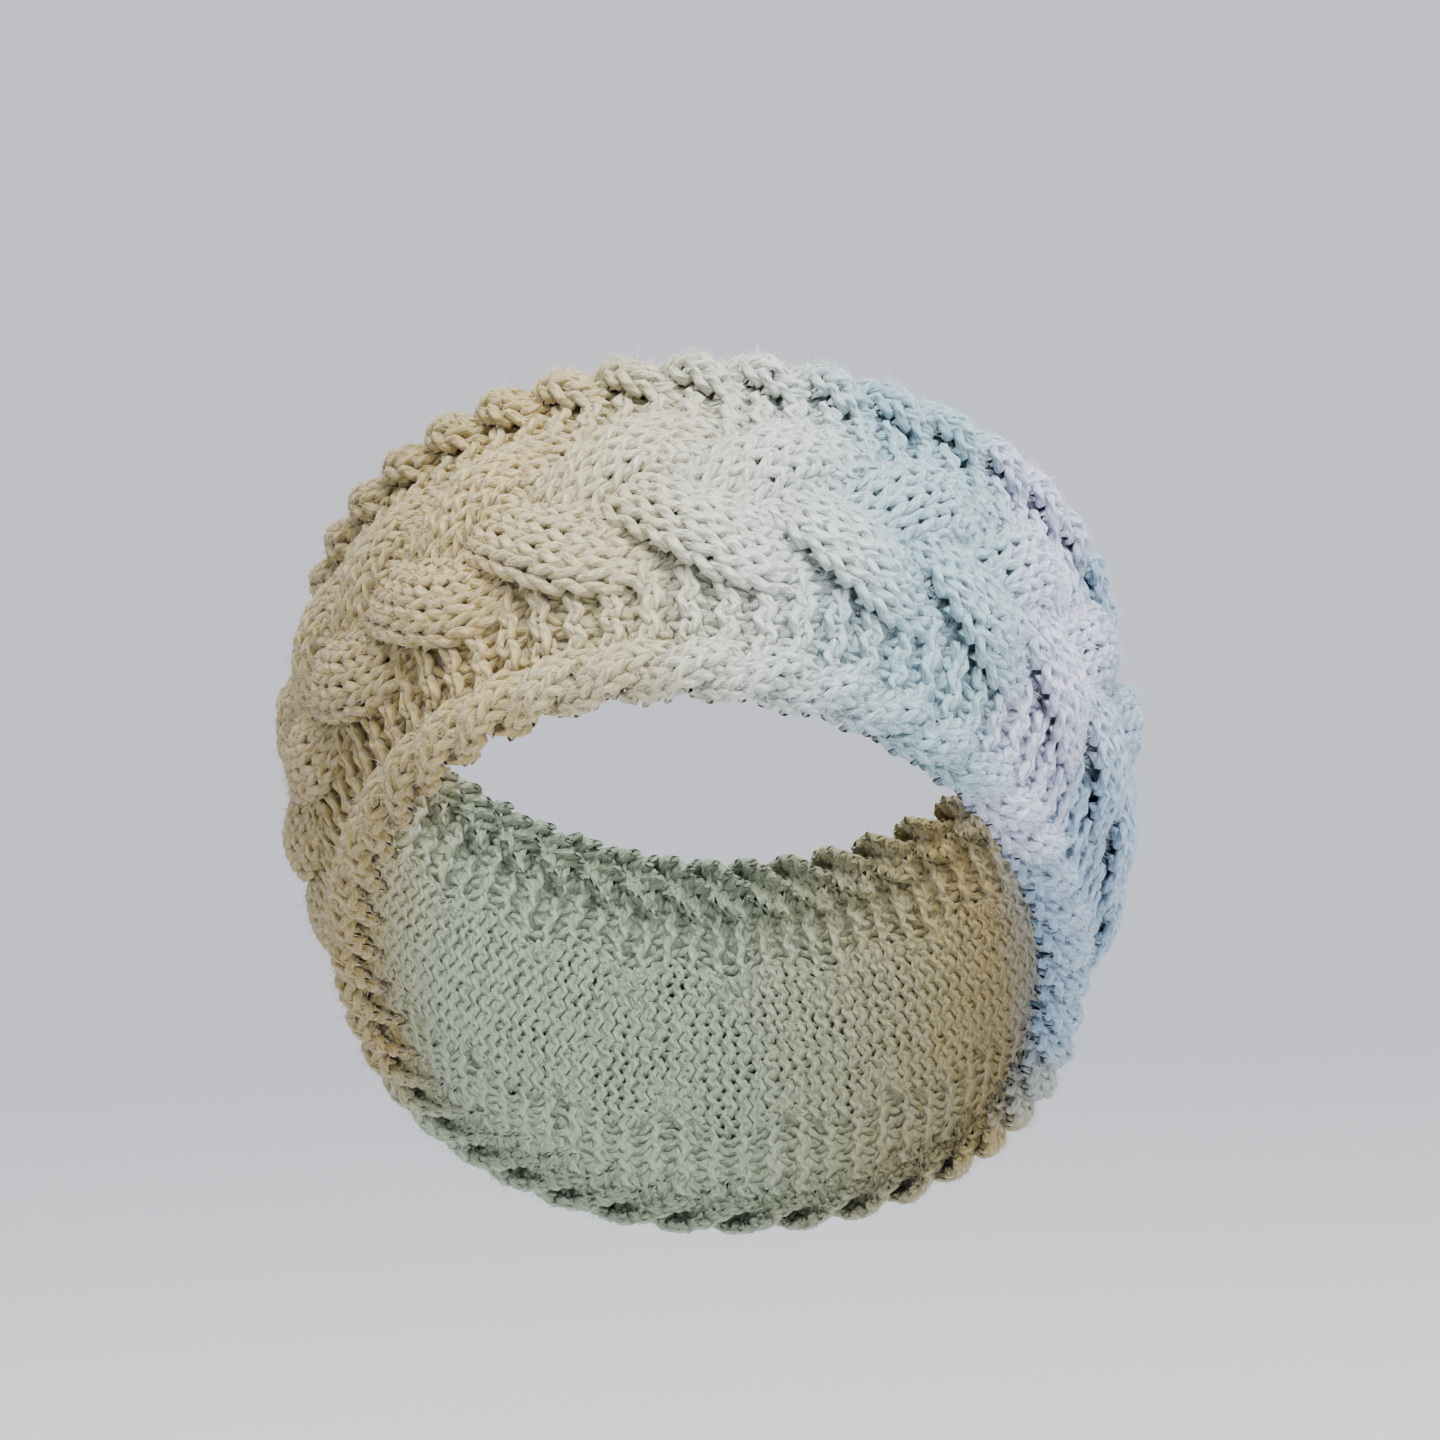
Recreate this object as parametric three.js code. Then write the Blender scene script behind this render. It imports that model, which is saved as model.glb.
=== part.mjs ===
// Ear warmer headband, hand knitted as one band and closed into a loop, in the form that it has when worn.
// The front centre faces -Y and sits high, the back sits low at the nape, and +Z is up. Millimetres.
// Across its width the band has a rope cable edge, a gutter, a three-strand plait, a gutter and a rope edge.
import * as THREE from "three";

// Ring: the hollow that the head fills, measured in the ring's own tilted plane.
const HEAD_BREADTH = 158;
const HEAD_LENGTH = 193;
const TILT = 38;
// The band's bow across its width, as the radius of that arc.
const BOW_RADIUS = 86;
// How far the section leans at three places round the ring, in degrees: positive brings the upper edge in.
const LEAN = { front: 3.7, side: -6.3, back: 16 };

// Widths across the band.
const BAND_WIDTH = 84;
const ROPE_WIDTH = 10.4;
const GUTTER_WIDTH = 10;
// How far a rope reaches past the ground that carries it.
const ROPE_OVERHANG = 1.5;
// Thicknesses outward from the head.
const GROUND_THICKNESS = 1.2;
const GUTTER_THICKNESS = 4.6;
const STRAND_THICKNESS = 2.4;
const ROPE_THICKNESS = 7.6;
// Clearance between neighbouring pieces.
const GAP = 0.3;

// Pattern round the loop. Each strand shows once in every third leaf, on either side of the plait's middle line.
const STRANDS = 3;
const LEAVES = 21;
const LUMPS_PER_LEAF = 2;
// Share by which the knit is stretched at the front and gathered at the back.
const FRONT_STRETCH = 0.06;
// Place of the pattern against the front centre, in shares of a strand's period and of a rope's lump.
const PLAIT_PHASE = 0.223;
const ROPE_PHASE = 0.25;

// Form of a strand. Half width as a share of its swing, rise over a crossing in half thicknesses,
// and tilt as a share of that rise, by which each strand lies on its neighbour like a roof tile.
const STRAND_SHARE = 0.66;
const RISE_SHARE = 1.72;
const TILT_SHARE = 0.5;
// Depth of the groove between a rope's two twisted strands, as a share of its radius.
const ROPE_GROOVE = 0.36;

// Facets: steps round the loop and sides of each section.
const GROUND_STEPS = 60;
const STRAND_STEPS = 108;
const ROPE_STEPS_PER_LUMP = 4;
const STRAND_SIDES = 6;
const ROPE_SIDES = 8;
const RING_SAMPLES = 720;

// Worked out from the sizes above.
const TURN = 2 * Math.PI;
const DEGREE = Math.PI / 180;
const ropeCentre = (BAND_WIDTH - ROPE_WIDTH) / 2;
const ropeFoot = GROUND_THICKNESS + GAP;
const groundHalf = BAND_WIDTH / 2 - ROPE_OVERHANG;
const gutterOuter = BAND_WIDTH / 2 - ROPE_WIDTH - GAP;
const gutterInner = gutterOuter - GUTTER_WIDTH;
const plaitHalf = gutterInner - GAP;
const strandSwing = plaitHalf / (1 + STRAND_SHARE);
const strandHalfWidth = strandSwing * STRAND_SHARE;
const strandRise = RISE_SHARE * (STRAND_THICKNESS + GAP) / 2;
const strandTilt = TILT_SHARE * strandRise;
const plaitCentre = GROUND_THICKNESS + GAP + STRAND_THICKNESS / 2 + strandRise + strandTilt / 2;

// The ring's middle line is an ellipse. Lists the share of the loop's length at equal steps of its parameter.
function ringTable() {
  const lengths = [0];
  for (let i = 1; i <= RING_SAMPLES; i++) {
    const middle = ((i - 0.5) / RING_SAMPLES) * TURN;
    const dx = (HEAD_BREADTH / 2) * Math.cos(middle);
    const dy = (HEAD_LENGTH / 2) * Math.sin(middle);
    lengths.push(lengths[i - 1] + Math.hypot(dx, dy));
  }
  return lengths.map((length) => length / lengths[RING_SAMPLES]);
}

const ringShares = ringTable();

// The ellipse's parameter at a share of the loop's length, by straight interpolation in the table.
function ringAngle(share) {
  const wanted = share - Math.floor(share);
  const after = Math.max(1, ringShares.findIndex((s) => s >= wanted));
  const before = after - 1;
  const part = (wanted - ringShares[before]) / (ringShares[after] - ringShares[before]);
  return ((before + part) / RING_SAMPLES) * TURN;
}

// Lean of the section: the three values of LEAN joined by a smooth curve in the cosine from the front.
function leanAt(frontness) {
  const swing = (LEAN.front - LEAN.back) / 2;
  const bulge = (LEAN.front + LEAN.back) / 2 - LEAN.side;
  return (LEAN.side + swing * frontness + bulge * frontness ** 2) * DEGREE;
}

// A point of the band: share of the loop from the front centre towards +X, distance across, distance outward.
function place(share, across, outward) {
  const angle = ringAngle(share);
  const breadth = HEAD_BREADTH / 2;
  const length = HEAD_LENGTH / 2;
  const lean = leanAt(Math.cos(angle));
  const normal = new THREE.Vector2(Math.sin(angle) / breadth, -Math.cos(angle) / length).normalize();
  const bow = across / BOW_RADIUS;
  const radius = BOW_RADIUS + outward;
  const out = radius * Math.cos(bow) - BOW_RADIUS;
  const up = radius * Math.sin(bow);
  const leanOut = out * Math.cos(lean) - up * Math.sin(lean);
  const leanUp = out * Math.sin(lean) + up * Math.cos(lean);
  return new THREE.Vector3(
    breadth * Math.sin(angle) + normal.x * leanOut,
    -length * Math.cos(angle) + normal.y * leanOut,
    leanUp,
  );
}

// Leaves counted from the front centre, longer at the front and shorter at the back.
function leafCount(share) {
  return LEAVES * (share - (FRONT_STRETCH * Math.sin(TURN * share)) / TURN);
}

// A closed ring swept round the loop. sectionAt gives the points [across, outward] at a share of the loop,
// anticlockwise as seen with outward pointing up. hand is the way the section turns, for the facets' split.
function sweptRing(steps, sectionAt, hand = -1) {
  const positions = [];
  const faces = [];
  let sides = 0;
  for (let i = 0; i < steps; i++) {
    const section = sectionAt(i / steps);
    sides = section.length;
    section.forEach(([across, outward]) => positions.push(...place(i / steps, across, outward).toArray()));
  }
  for (let i = 0; i < steps; i++) {
    const next = (i + 1) % steps;
    for (let j = 0; j < sides; j++) {
      const beside = (j + 1) % sides;
      const here = i * sides + j;
      const ahead = next * sides + j;
      const hereBeside = i * sides + beside;
      const aheadBeside = next * sides + beside;
      if (hand > 0) {
        faces.push(here, hereBeside, ahead, hereBeside, aheadBeside, ahead);
      } else {
        faces.push(here, hereBeside, aheadBeside, here, aheadBeside, ahead);
      }
    }
  }
  const geometry = new THREE.BufferGeometry();
  geometry.setAttribute("position", new THREE.Float32BufferAttribute(positions, 3));
  geometry.setIndex(faces);
  geometry.computeVertexNormals();
  return geometry;
}

// Section of the ground behind the plait: thin fabric, with its inner side on the head.
function plaitGroundSection() {
  const inner = [-1, -1 / 3, 1 / 3, 1].map((share) => [share * plaitHalf, 0]);
  const outer = inner.map(([across]) => [across, GROUND_THICKNESS]).reverse();
  return [...inner, ...outer];
}

// Section of a gutter: thick garter beside the plait, and thin fabric on under the rope. side is 1 or -1.
function gutterSection(side) {
  const section = [
    [gutterInner, 0],
    [gutterOuter, 0],
    [groundHalf, 0],
    [groundHalf, GROUND_THICKNESS],
    [gutterOuter, GROUND_THICKNESS],
    [gutterOuter, GUTTER_THICKNESS],
    [gutterInner, GUTTER_THICKNESS],
  ];
  const placed = section.map(([across, outward]) => [side * across, outward]);
  return side > 0 ? placed : placed.reverse();
}

// Section of one plait strand: a flat oval that swings from side to side once a period and rises twice,
// so that it lies on top where it runs outward from the middle line and below where it runs back.
function strandSection(share, strand) {
  const angle = TURN * (leafCount(share) / STRANDS + PLAIT_PHASE + strand / STRANDS);
  const across = strandSwing * Math.sin(angle);
  const outward = plaitCentre + strandRise * Math.sin(2 * angle);
  const topSine = Math.sin(TURN / STRAND_SIDES);
  const section = [];
  for (let j = 0; j < STRAND_SIDES; j++) {
    const side = (j / STRAND_SIDES) * TURN;
    const tilted = strandTilt * Math.cos(angle) * Math.cos(side);
    section.push([
      across + strandHalfWidth * Math.cos(side),
      outward + tilted + ((STRAND_THICKNESS / 2) * Math.sin(side)) / topSine,
    ]);
  }
  return section;
}

// Section of a rope edge: two strands side by side with a groove between them, turned half round in each lump.
function ropeSection(share, centre, hand) {
  const twist = hand * (TURN / 2) * (LUMPS_PER_LEAF * leafCount(share) + ROPE_PHASE);
  const section = [];
  for (let j = 0; j < ROPE_SIDES; j++) {
    const side = (j / ROPE_SIDES) * TURN;
    const radius = 1 - (ROPE_GROOVE * (1 - Math.cos(2 * side))) / 2;
    section.push([
      centre + radius * (ROPE_WIDTH / 2) * Math.cos(side + twist),
      ropeFoot + (ROPE_THICKNESS / 2) * (1 + radius * Math.sin(side + twist)),
    ]);
  }
  return section;
}

// Soft wool yarn: matt, and paler on the raised cables.
function woolMaterial(colour) {
  return new THREE.MeshStandardMaterial({ color: colour, roughness: 0.95, metalness: 0 });
}

function piece(name, geometry, material) {
  const mesh = new THREE.Mesh(geometry, material);
  mesh.name = name;
  return mesh;
}

const groundWool = woolMaterial("#cdc8b4");
const cableWool = woolMaterial("#dcd9cb");
const ropeSteps = LEAVES * LUMPS_PER_LEAF * ROPE_STEPS_PER_LUMP;

function ropeEdge(name, centre, hand) {
  const geometry = sweptRing(ropeSteps, (share) => ropeSection(share, centre, hand), hand);
  return piece(name, geometry, cableWool);
}

const headband = new THREE.Group();
headband.name = "headband";
headband.rotation.x = -TILT * DEGREE;

headband.add(piece("plait_ground", sweptRing(GROUND_STEPS, plaitGroundSection), groundWool));
headband.add(piece("lower_gutter", sweptRing(GROUND_STEPS, () => gutterSection(-1)), groundWool));
headband.add(piece("upper_gutter", sweptRing(GROUND_STEPS, () => gutterSection(1)), groundWool));
for (let strand = 0; strand < STRANDS; strand++) {
  const geometry = sweptRing(STRAND_STEPS, (share) => strandSection(share, strand));
  headband.add(piece(`plait_strand_${strand + 1}`, geometry, cableWool));
}
headband.add(ropeEdge("lower_rope_edge", -ropeCentre, -1));
headband.add(ropeEdge("upper_rope_edge", ropeCentre, 1));

export default headband;
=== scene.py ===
"""Ear warmer headband knitted in soft worsted wool, worked out row by row from the yarn's own path.

Every visible stitch is a loop of yarn. A point of the fabric is given by how far round the band it lies
(counted in leaves of the plait), how far across the band, and how far outward, all in millimetres.
"""
import math
from typing import NamedTuple

import bpy
import numpy as np
from mathutils import Matrix, Vector


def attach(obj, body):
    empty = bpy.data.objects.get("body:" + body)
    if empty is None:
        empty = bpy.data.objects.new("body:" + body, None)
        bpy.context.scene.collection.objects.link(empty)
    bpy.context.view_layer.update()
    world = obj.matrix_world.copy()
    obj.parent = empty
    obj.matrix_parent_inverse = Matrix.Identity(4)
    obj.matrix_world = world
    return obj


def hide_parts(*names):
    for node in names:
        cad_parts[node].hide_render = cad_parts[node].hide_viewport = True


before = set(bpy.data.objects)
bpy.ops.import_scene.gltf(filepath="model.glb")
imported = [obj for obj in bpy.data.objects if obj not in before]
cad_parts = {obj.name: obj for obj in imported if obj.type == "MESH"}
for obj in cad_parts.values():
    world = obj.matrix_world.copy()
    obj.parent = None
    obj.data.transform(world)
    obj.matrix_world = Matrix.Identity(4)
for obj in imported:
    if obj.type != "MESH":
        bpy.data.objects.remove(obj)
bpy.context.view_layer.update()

bl_info = {
    "name": "Knitted Headband",
    "version": (1, 0, 0),
    "blender": (4, 5, 0),
    "location": "3D View > Sidebar > Headband",
    "description": "Builds a cable-knit ear warmer headband from its yarn paths",
    "category": "Object",
}

MM = 0.001
TURN = 2 * math.pi

# The ring and its bow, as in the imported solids, in millimetres and degrees.
HEAD_BREADTH = 158.0
HEAD_LENGTH = 193.0
TILT = math.radians(38.0)
BOW_RADIUS = 86.0
LEAN_FRONT = 3.7
LEAN_SIDE = -6.3
LEAN_BACK = 16.0
RING_SAMPLES = 1440

# The pattern round the loop. A leaf of the plait is eight rows long, a lump of a rope four.
LEAVES = 21
ROWS_PER_LEAF = 8
ROWS = LEAVES * ROWS_PER_LEAF
STRANDS = 3
FRONT_STRETCH = 0.06
PLAIT_PHASE = 0.223
ROPE_PHASE = 0.25

# Plait: where its strands swing and rise, then one strand's section, in millimetres.
PLAIT_SWING = 12.4
PLAIT_CENTRE = 5.2
PLAIT_RISE = 2.8
STRAND_COLUMNS = 4
STRAND_HALF_WIDTH = 8.2
STRAND_TILT = 0.9
STRAND_DROOP_OVER = 2.5
STRAND_DROOP_UNDER = 0.5
STRAND_DROOP_POWER = 2.4
# A strand lies on top from this sine of twice its angle on, by a smooth step of this span.
OVER_START = -0.4
OVER_SPAN = 1.1
# Painted light left where a strand lies below another: the painted shade under the strand on top.
UNDER_PAINTED_LIGHT = 0.6

# Rope edges: two strands that circle one another, in millimetres.
ROPE_PLACE = 36.1
ROPE_CENTRE = 5.3
ROPE_SWING = 2.2
ROPE_RISE = 2.6
ROPE_COLUMNS = 2
ROPE_HALF_WIDTH = 3.5
ROPE_DROOP = 2.4
UPPER_ROPE_FULLNESS = 1.2

# How much painted shade a rope's strand gets as it passes below the other.
ROPE_PAINTED_SHADE = 0.3

# Ground: the column edges from the rope inward to the middle line, then the form of the gutter and of the
# backing behind the plait, and how far the gutter reaches into a notch, in millimetres.
GROUND_EDGES = (35.8, 31.0, 26.2, 21.4, 17.1, 12.8, 8.6, 4.3, 0.0)
GUTTER_COLUMNS = 3
GUTTER_CENTRE = 2.6
GUTTER_DEPTH = 1.35
RIDGE_PULL = 0.1
GUTTER_FULLNESS = 1.1
BACKING_CENTRE = 1.1
BACKING_DEPTH = 0.4
BACKING_FULLNESS = 0.95
NOTCH_REACH = 4.0
NOTCH_POWER = 1.5
# Columns over which the notch fades, then where the gutter starts to thin and over how much, in columns.
NOTCH_FADE = 2
THIN_START = 0.1
THIN_SPAN = 0.9
# Share of a loop's own unevenness that a garter row keeps, and how deep its outer end dives.
GARTER_UNEVENNESS = 0.3
GROUND_END_DIVE = 0.5
# Web: the matted wool deep in the gutter, a strip between these places across, that waves with the ridges, and its
# painted light, below 1 for a little painted shade.
WEB_INNER = 19.5
WEB_OUTER = 36.5
WEB_THICKNESS = 0.3
WEB_WAVE = 1.0
WEB_PAINTED_LIGHT = 0.8
# Size of one of the web's faces on its yarn map: centimetres along, and turns round.
WEB_FACE = (0.35, 0.25)

# Yarn: segments along one stitch and sides round it, for the cables and for the ground.
CABLE_SEGMENTS = 10
CABLE_SIDES = 6
GROUND_SEGMENTS = 8
GROUND_SIDES = 5
# How far a row runs on past its last column, in stitches, and how deep its end dives.
END_RUN = 0.24
END_SEGMENTS = 2
END_DIVE = 1.5
END_TUCK = 0.85
# Seeded wander of a loop's widening, place across, reach, place ahead and depth, at an unevenness of 1.
BULGE_WANDER = 0.07
ACROSS_WANDER = 0.028
REACH_WANDER = 0.05
AHEAD_WANDER = 0.05
DEPTH_WANDER = 0.16
# Share by which the yarn's thickness differs, and the range of its start on the yarn map, in centimetres.
THICKNESS_WANDER = 0.03
START_RANGE = 10.0

# Bars: yarn stretched between a leaf's end and the gutter, two in each notch.
BARS_PER_NOTCH = 2
BAR_SAMPLES = 9
BAR_INNER = 13.0
BAR_OUTER = 23.0
# Places of a notch's two bars, in leaves, their scatter, then the mean and the scatter of their lean.
BAR_PLACES = (-0.2, 0.04)
BAR_SCATTER = 0.03
BAR_LEAN = (0.8, 0.5)
BAR_INNER_SCATTER = 0.5
BAR_BEND = 0.35
# Height of a bar's inner end, of its arch, and how far it falls towards the gutter.
BAR_FOOT = 2.6
BAR_ARCH = 2.0
BAR_FALL = 0.6
# Painted light of the bars, below 1 for some painted shade, then their fullness.
BAR_PAINTED_LIGHT = 0.75
BAR_FULLNESS = 0.92

# Halo: fine fibres that stand off the yarn, in millimetres. The long ones bend once, the short ones are straight.
HALO_LONG = 2400
HALO_SHORT = 28000
HALO_WIDTH = 0.1
LONG_FIBRE = (2.2, 3.0)
SHORT_FIBRE = (0.8, 2.2)
# Least painted light of the yarn that fibres grow from, so that they grow on the crests, and how deep in it they
# start.
HALO_ROOT_LIGHT = 0.45
HALO_ROOT = 0.85
# Least and most sideways lean of a fibre, the scatter of its sway, its bend half way and its taper to there.
HALO_LEAN = (0.3, 1.8)
HALO_SWAY = 0.6
HALO_BEND = 0.9
HALO_TAPER = 0.8

# How quickly the painted shade deepens from a yarn's crest down its sides, as a power, and towards a section's
# edges.
PAINTED_SHADE_FALL = 1.9
EDGE_PAINTED_SHADE = 0.35

# First seeds of the random draws.
PLAIT_SEED = 11
ROPE_SEED = 31
GROUND_SEED = 51
HALO_SEED = 71

# Twist of the yarn: turns of a ply in a centimetre, and plies.
PLY_TURNS = 2.6
PLIES = 2.0
# Wool: saturation and value, as factors of the yarn's shade, for the painted shade deep between stitches, on fibres
# and in the halo.
PAINTED_CREASE_SHADE = (1.5, 0.54)
FIBRE_SHADE = (0.6, 1.5)
HALO_SHADE = (0.65, 1.35)
# Tint of the painted shade in the groove between two plies and how much of it shows.
GROOVE_SHADE_TINT = (0.72, 0.69, 0.60, 1.0)
GROOVE_SHADE_STRENGTH = 0.6
# Noise that moves the shades round the loop: scale, detail and the share of the loop that it moves them.
DRIFT_SCALE = 55.0
DRIFT_DETAIL = 3.0
DRIFT_SHARE = 0.04
# Streaks of fibre: stretch of their noise on the yarn map, then where they start and how sharply they rise.
FIBRE_STRETCH = (6.0, 14.0, 1.0)
FIBRE_START = 0.45
FIBRE_SHARPNESS = 6.0
FIBRE_HEIGHT = 0.9
MOTTLE_SCALE = 900.0
BUMP_DISTANCE = 0.0008

# Stage, in metres.
FLOOR_HEIGHT = -0.235
BOWL_RADIUS = 3.2
BOWL_CURVE = 1.4
BOWL_WALL = 1.2
BOWL_SECTORS = 64
SKY_COLOUR = (0.93, 0.96, 1.0, 1.0)
KEY_PLACE = (0.2, -0.6, 1.25)
KEY_SIZE = 0.8
FILL_PLACE = (1.15, -0.75, 0.4)
FILL_SIZE = 1.0

# Camera fitted to the view of the photograph, whose side is 1440 pixels; distances in millimetres.
PHOTO_SIDE = 1440
CAMERA_DISTANCE = 886.6
CAMERA_FOCAL_PIXELS = 4308.8
CAMERA_PITCH = math.radians(1.511)
CAMERA_ROLL = math.radians(-2.053)
CAMERA_YAW = math.radians(-3.748)
CAMERA_AIM_X = -2.55
CAMERA_AIM_Z = -17.18
SENSOR = 36.0


def linear(code):
    """Linear colour of an sRGB code such as c8d0d4: each channel c gives ((c + 0.055) / 1.055) ^ 2.4."""
    channels = [int(code[i:i + 2], 16) / 255 for i in (0, 2, 4)]
    return tuple(c / 12.92 if c <= 0.04045 else ((c + 0.055) / 1.055) ** 2.4 for c in channels)


# Where each shade of the self-striping yarn lies: share of the loop from the middle of the back.
SHADE_STOPS = (
    (0.00, "sage"),
    (0.14, "sage"),
    (0.20, "khaki"),
    (0.375, "khaki"),
    (0.44, "straw"),
    (0.485, "cream"),
    (0.53, "ivory"),
    (0.58, "aqua"),
    (0.622, "aqua"),
    (0.646, "lavender"),
    (0.670, "lavender"),
    (0.70, "slate"),
    (0.81, "slate"),
    (0.88, "khaki"),
    (1.00, "sage"),
)


class HeadbandKnit(bpy.types.PropertyGroup):
    """Sizes of the yarn and of its loops."""

    yarn_diameter: bpy.props.FloatProperty(
        name="Yarn diameter", description="Thickness of the yarn in the cables",
        default=2.25 * MM, min=1.0 * MM, max=3.5 * MM, unit="LENGTH", precision=5)
    rope_diameter: bpy.props.FloatProperty(
        name="Rope yarn diameter", description="Thickness of the yarn as it lies packed in the ropes",
        default=2.1 * MM, min=1.0 * MM, max=3.5 * MM, unit="LENGTH", precision=5)
    ground_diameter: bpy.props.FloatProperty(
        name="Ground yarn diameter", description="Thickness of the yarn as it lies stretched in the ground",
        default=2.05 * MM, min=1.0 * MM, max=3.5 * MM, unit="LENGTH", precision=5)
    loop_bulge: bpy.props.FloatProperty(
        name="Loop bulge", description="How far a loop widens past its base, as a share of a column",
        default=0.29, min=0.1, max=0.35, subtype="FACTOR")
    loop_reach: bpy.props.FloatProperty(
        name="Loop reach", description="How far a loop's head and feet lie from the middle of its row, in rows",
        default=0.8, min=0.6, max=1.1, subtype="FACTOR")
    loop_depth: bpy.props.FloatProperty(
        name="Loop depth", description="How far a loop's legs stand in front of its head and feet",
        default=0.8 * MM, min=0.0, max=2.0 * MM, unit="LENGTH", precision=5)
    unevenness: bpy.props.FloatProperty(
        name="Unevenness", description="How much one stitch differs from the next",
        default=1.5, min=0.0, max=3.0, subtype="FACTOR")


class HeadbandWool(bpy.types.PropertyGroup):
    """Shades of the self-striping yarn."""

    sage: bpy.props.FloatVectorProperty(
        name="Sage", description="Shade at the back", subtype="COLOR", size=3, default=linear("aab89e"))
    khaki: bpy.props.FloatVectorProperty(
        name="Khaki", description="Shade at the left side", subtype="COLOR", size=3, default=linear("b39d61"))
    straw: bpy.props.FloatVectorProperty(
        name="Straw", description="Shade left of the front", subtype="COLOR", size=3, default=linear("d0b87a"))
    cream: bpy.props.FloatVectorProperty(
        name="Cream", description="Shade near the front", subtype="COLOR", size=3, default=linear("d3c9a2"))
    ivory: bpy.props.FloatVectorProperty(
        name="Ivory", description="Shade at the front", subtype="COLOR", size=3, default=linear("dde3da"))
    aqua: bpy.props.FloatVectorProperty(
        name="Aqua", description="Shade right of the front", subtype="COLOR", size=3, default=linear("a9cad6"))
    lavender: bpy.props.FloatVectorProperty(
        name="Lavender", description="Narrow stripe at the right", subtype="COLOR", size=3,
        default=linear("d3d6f1"))
    slate: bpy.props.FloatVectorProperty(
        name="Slate", description="Shade at the right side", subtype="COLOR", size=3, default=linear("a0bdd6"))


class HeadbandStage(bpy.types.PropertyGroup):
    """Floor and light."""

    floor: bpy.props.FloatVectorProperty(
        name="Floor", description="Colour of the floor and its raised rim", subtype="COLOR", size=3,
        default=linear("e9eaee"))
    sky: bpy.props.FloatProperty(
        name="Ambient light", description="Strength of the light from all round", default=0.9, min=0.0)
    key: bpy.props.FloatProperty(
        name="Key light", description="Power of the large soft light above the front", default=36.0, min=0.0,
        unit="POWER")
    fill: bpy.props.FloatProperty(
        name="Fill light", description="Power of the soft light at the right", default=9.0, min=0.0, unit="POWER")


def ring_tables():
    """Share of the ring's length at equal steps of its ellipse parameter, and that length in millimetres.

    The ring is an ellipse; its length is the running sum of the chord steps at the middle of each step.
    """
    edges = np.linspace(0.0, TURN, RING_SAMPLES + 1)
    middle = (edges[:-1] + edges[1:]) / 2
    speed = np.hypot(HEAD_BREADTH / 2 * np.cos(middle), HEAD_LENGTH / 2 * np.sin(middle))
    length = np.concatenate([[0.0], np.cumsum(speed * TURN / RING_SAMPLES)])
    return edges, length / length[-1], length[-1]


RING_ANGLES, RING_SHARES, LOOP_LENGTH = ring_tables()


def leaf_count(share):
    """Leaves from the front centre: LEAVES * (share - stretch * sin(turn * share) / turn)."""
    return LEAVES * (share - FRONT_STRETCH * np.sin(TURN * share) / TURN)


SHARE_TABLE = np.linspace(-1.0, 1.0, 4001)
LEAF_TABLE = leaf_count(SHARE_TABLE)


def distance_round(leaf):
    """Millimetres round the loop from the front centre at a count of leaves: the inverse of leaf_count."""
    return LOOP_LENGTH * np.interp(leaf, LEAF_TABLE, SHARE_TABLE)


def place(along, across, outward):
    """Points in metres of the band at distances along, across and outward in millimetres.

    The ring is an ellipse, and the section is an arc of BOW_RADIUS leaning by a quadratic in the cosine from
    the front. The whole ring is then turned about X by the tilt, which lifts the front.
    """
    share = np.mod(along / LOOP_LENGTH, 1.0)
    angle = np.interp(share, RING_SHARES, RING_ANGLES)
    breadth, length = HEAD_BREADTH / 2, HEAD_LENGTH / 2
    front = np.cos(angle)
    swing = (LEAN_FRONT - LEAN_BACK) / 2
    bulge = (LEAN_FRONT + LEAN_BACK) / 2 - LEAN_SIDE
    lean = np.radians(LEAN_SIDE + swing * front + bulge * front ** 2)
    nx, ny = np.sin(angle) / breadth, -np.cos(angle) / length
    size = np.hypot(nx, ny)
    bow = across / BOW_RADIUS
    radius = BOW_RADIUS + outward
    out = radius * np.cos(bow) - BOW_RADIUS
    up = radius * np.sin(bow)
    lean_out = out * np.cos(lean) - up * np.sin(lean)
    lean_up = out * np.sin(lean) + up * np.cos(lean)
    x = breadth * np.sin(angle) + nx / size * lean_out
    y = -length * np.cos(angle) + ny / size * lean_out
    turned_y = y * math.cos(TILT) + lean_up * math.sin(TILT)
    turned_z = -y * math.sin(TILT) + lean_up * math.cos(TILT)
    return np.stack([x, turned_y, turned_z], axis=-1) * MM


def unit(vectors):
    """Each vector divided by its length."""
    return vectors / np.maximum(np.linalg.norm(vectors, axis=-1, keepdims=True), 1e-12)


def smooth_step(x):
    """0 below 0, 1 above 1, and 3x^2 - 2x^3 between."""
    x = np.clip(x, 0.0, 1.0)
    return x * x * (3 - 2 * x)


class Run(NamedTuple):
    """Rows of yarn as grids: points, outward directions, distance round, painted light from 0 in full painted shade
    to 1, and fullness.
    """

    points: np.ndarray
    outward: np.ndarray
    along: np.ndarray
    painted_light: np.ndarray
    fullness: np.ndarray


def yarn_phase(columns, segments):
    """Phase of the yarn along a row: a turn a stitch, with a short run past both ends."""
    inner = np.linspace(0.0, columns * TURN, columns * segments + 1)
    run = np.linspace(0.0, END_RUN * TURN, END_SEGMENTS + 1)[1:]
    return np.concatenate([-run[::-1], inner, inner[-1] + run])


def end_share(phase, columns):
    """Share of the run past the first and past the last column that is covered, each from 0 to 1."""
    before = np.clip(-phase / (END_RUN * TURN), 0.0, 1.0)
    after = np.clip((phase - columns * TURN) / (END_RUN * TURN), 0.0, 1.0)
    return before, after


def end_dive(phase, columns):
    """How deep the yarn lies below its row: END_DIVE times the square of the share of the end run covered."""
    before, after = end_share(phase, columns)
    return END_DIVE * (before + after) ** 2


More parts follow.
